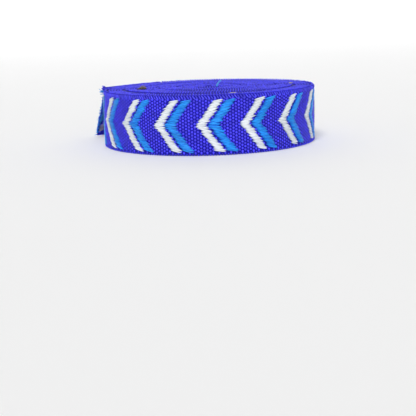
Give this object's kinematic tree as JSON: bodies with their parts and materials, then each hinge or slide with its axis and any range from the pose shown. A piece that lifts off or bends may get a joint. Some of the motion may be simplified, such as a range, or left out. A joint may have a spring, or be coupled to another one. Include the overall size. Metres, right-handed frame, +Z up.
{
  "type": "roll of jacquard webbing",
  "caption": "Flat woven tape wound tight into a disc that lies on its edges, with a short loose end standing off the side.",
  "frame": {"origin": "centre of the roll's flat underside, on the axis that the tape is wound about", "axes": "+Z up along the winding axis, -Y the front, towards the patterned face that shows; the loose end leaves at the back left, towards -X"},
  "size_m": [0.1035, 0.0959, 0.0253],
  "materials": {
    "wound_webbing": "woven royal blue yarn with raised white and azure satin floats in chevrons",
    "loose_webbing": "reverse side of the woven tape, with a frayed cut"
  },
  "bodies": {
    "root": {"wound_roll": "wound_webbing", "loose_end": "loose_webbing"}
  },
  "joints": []
}
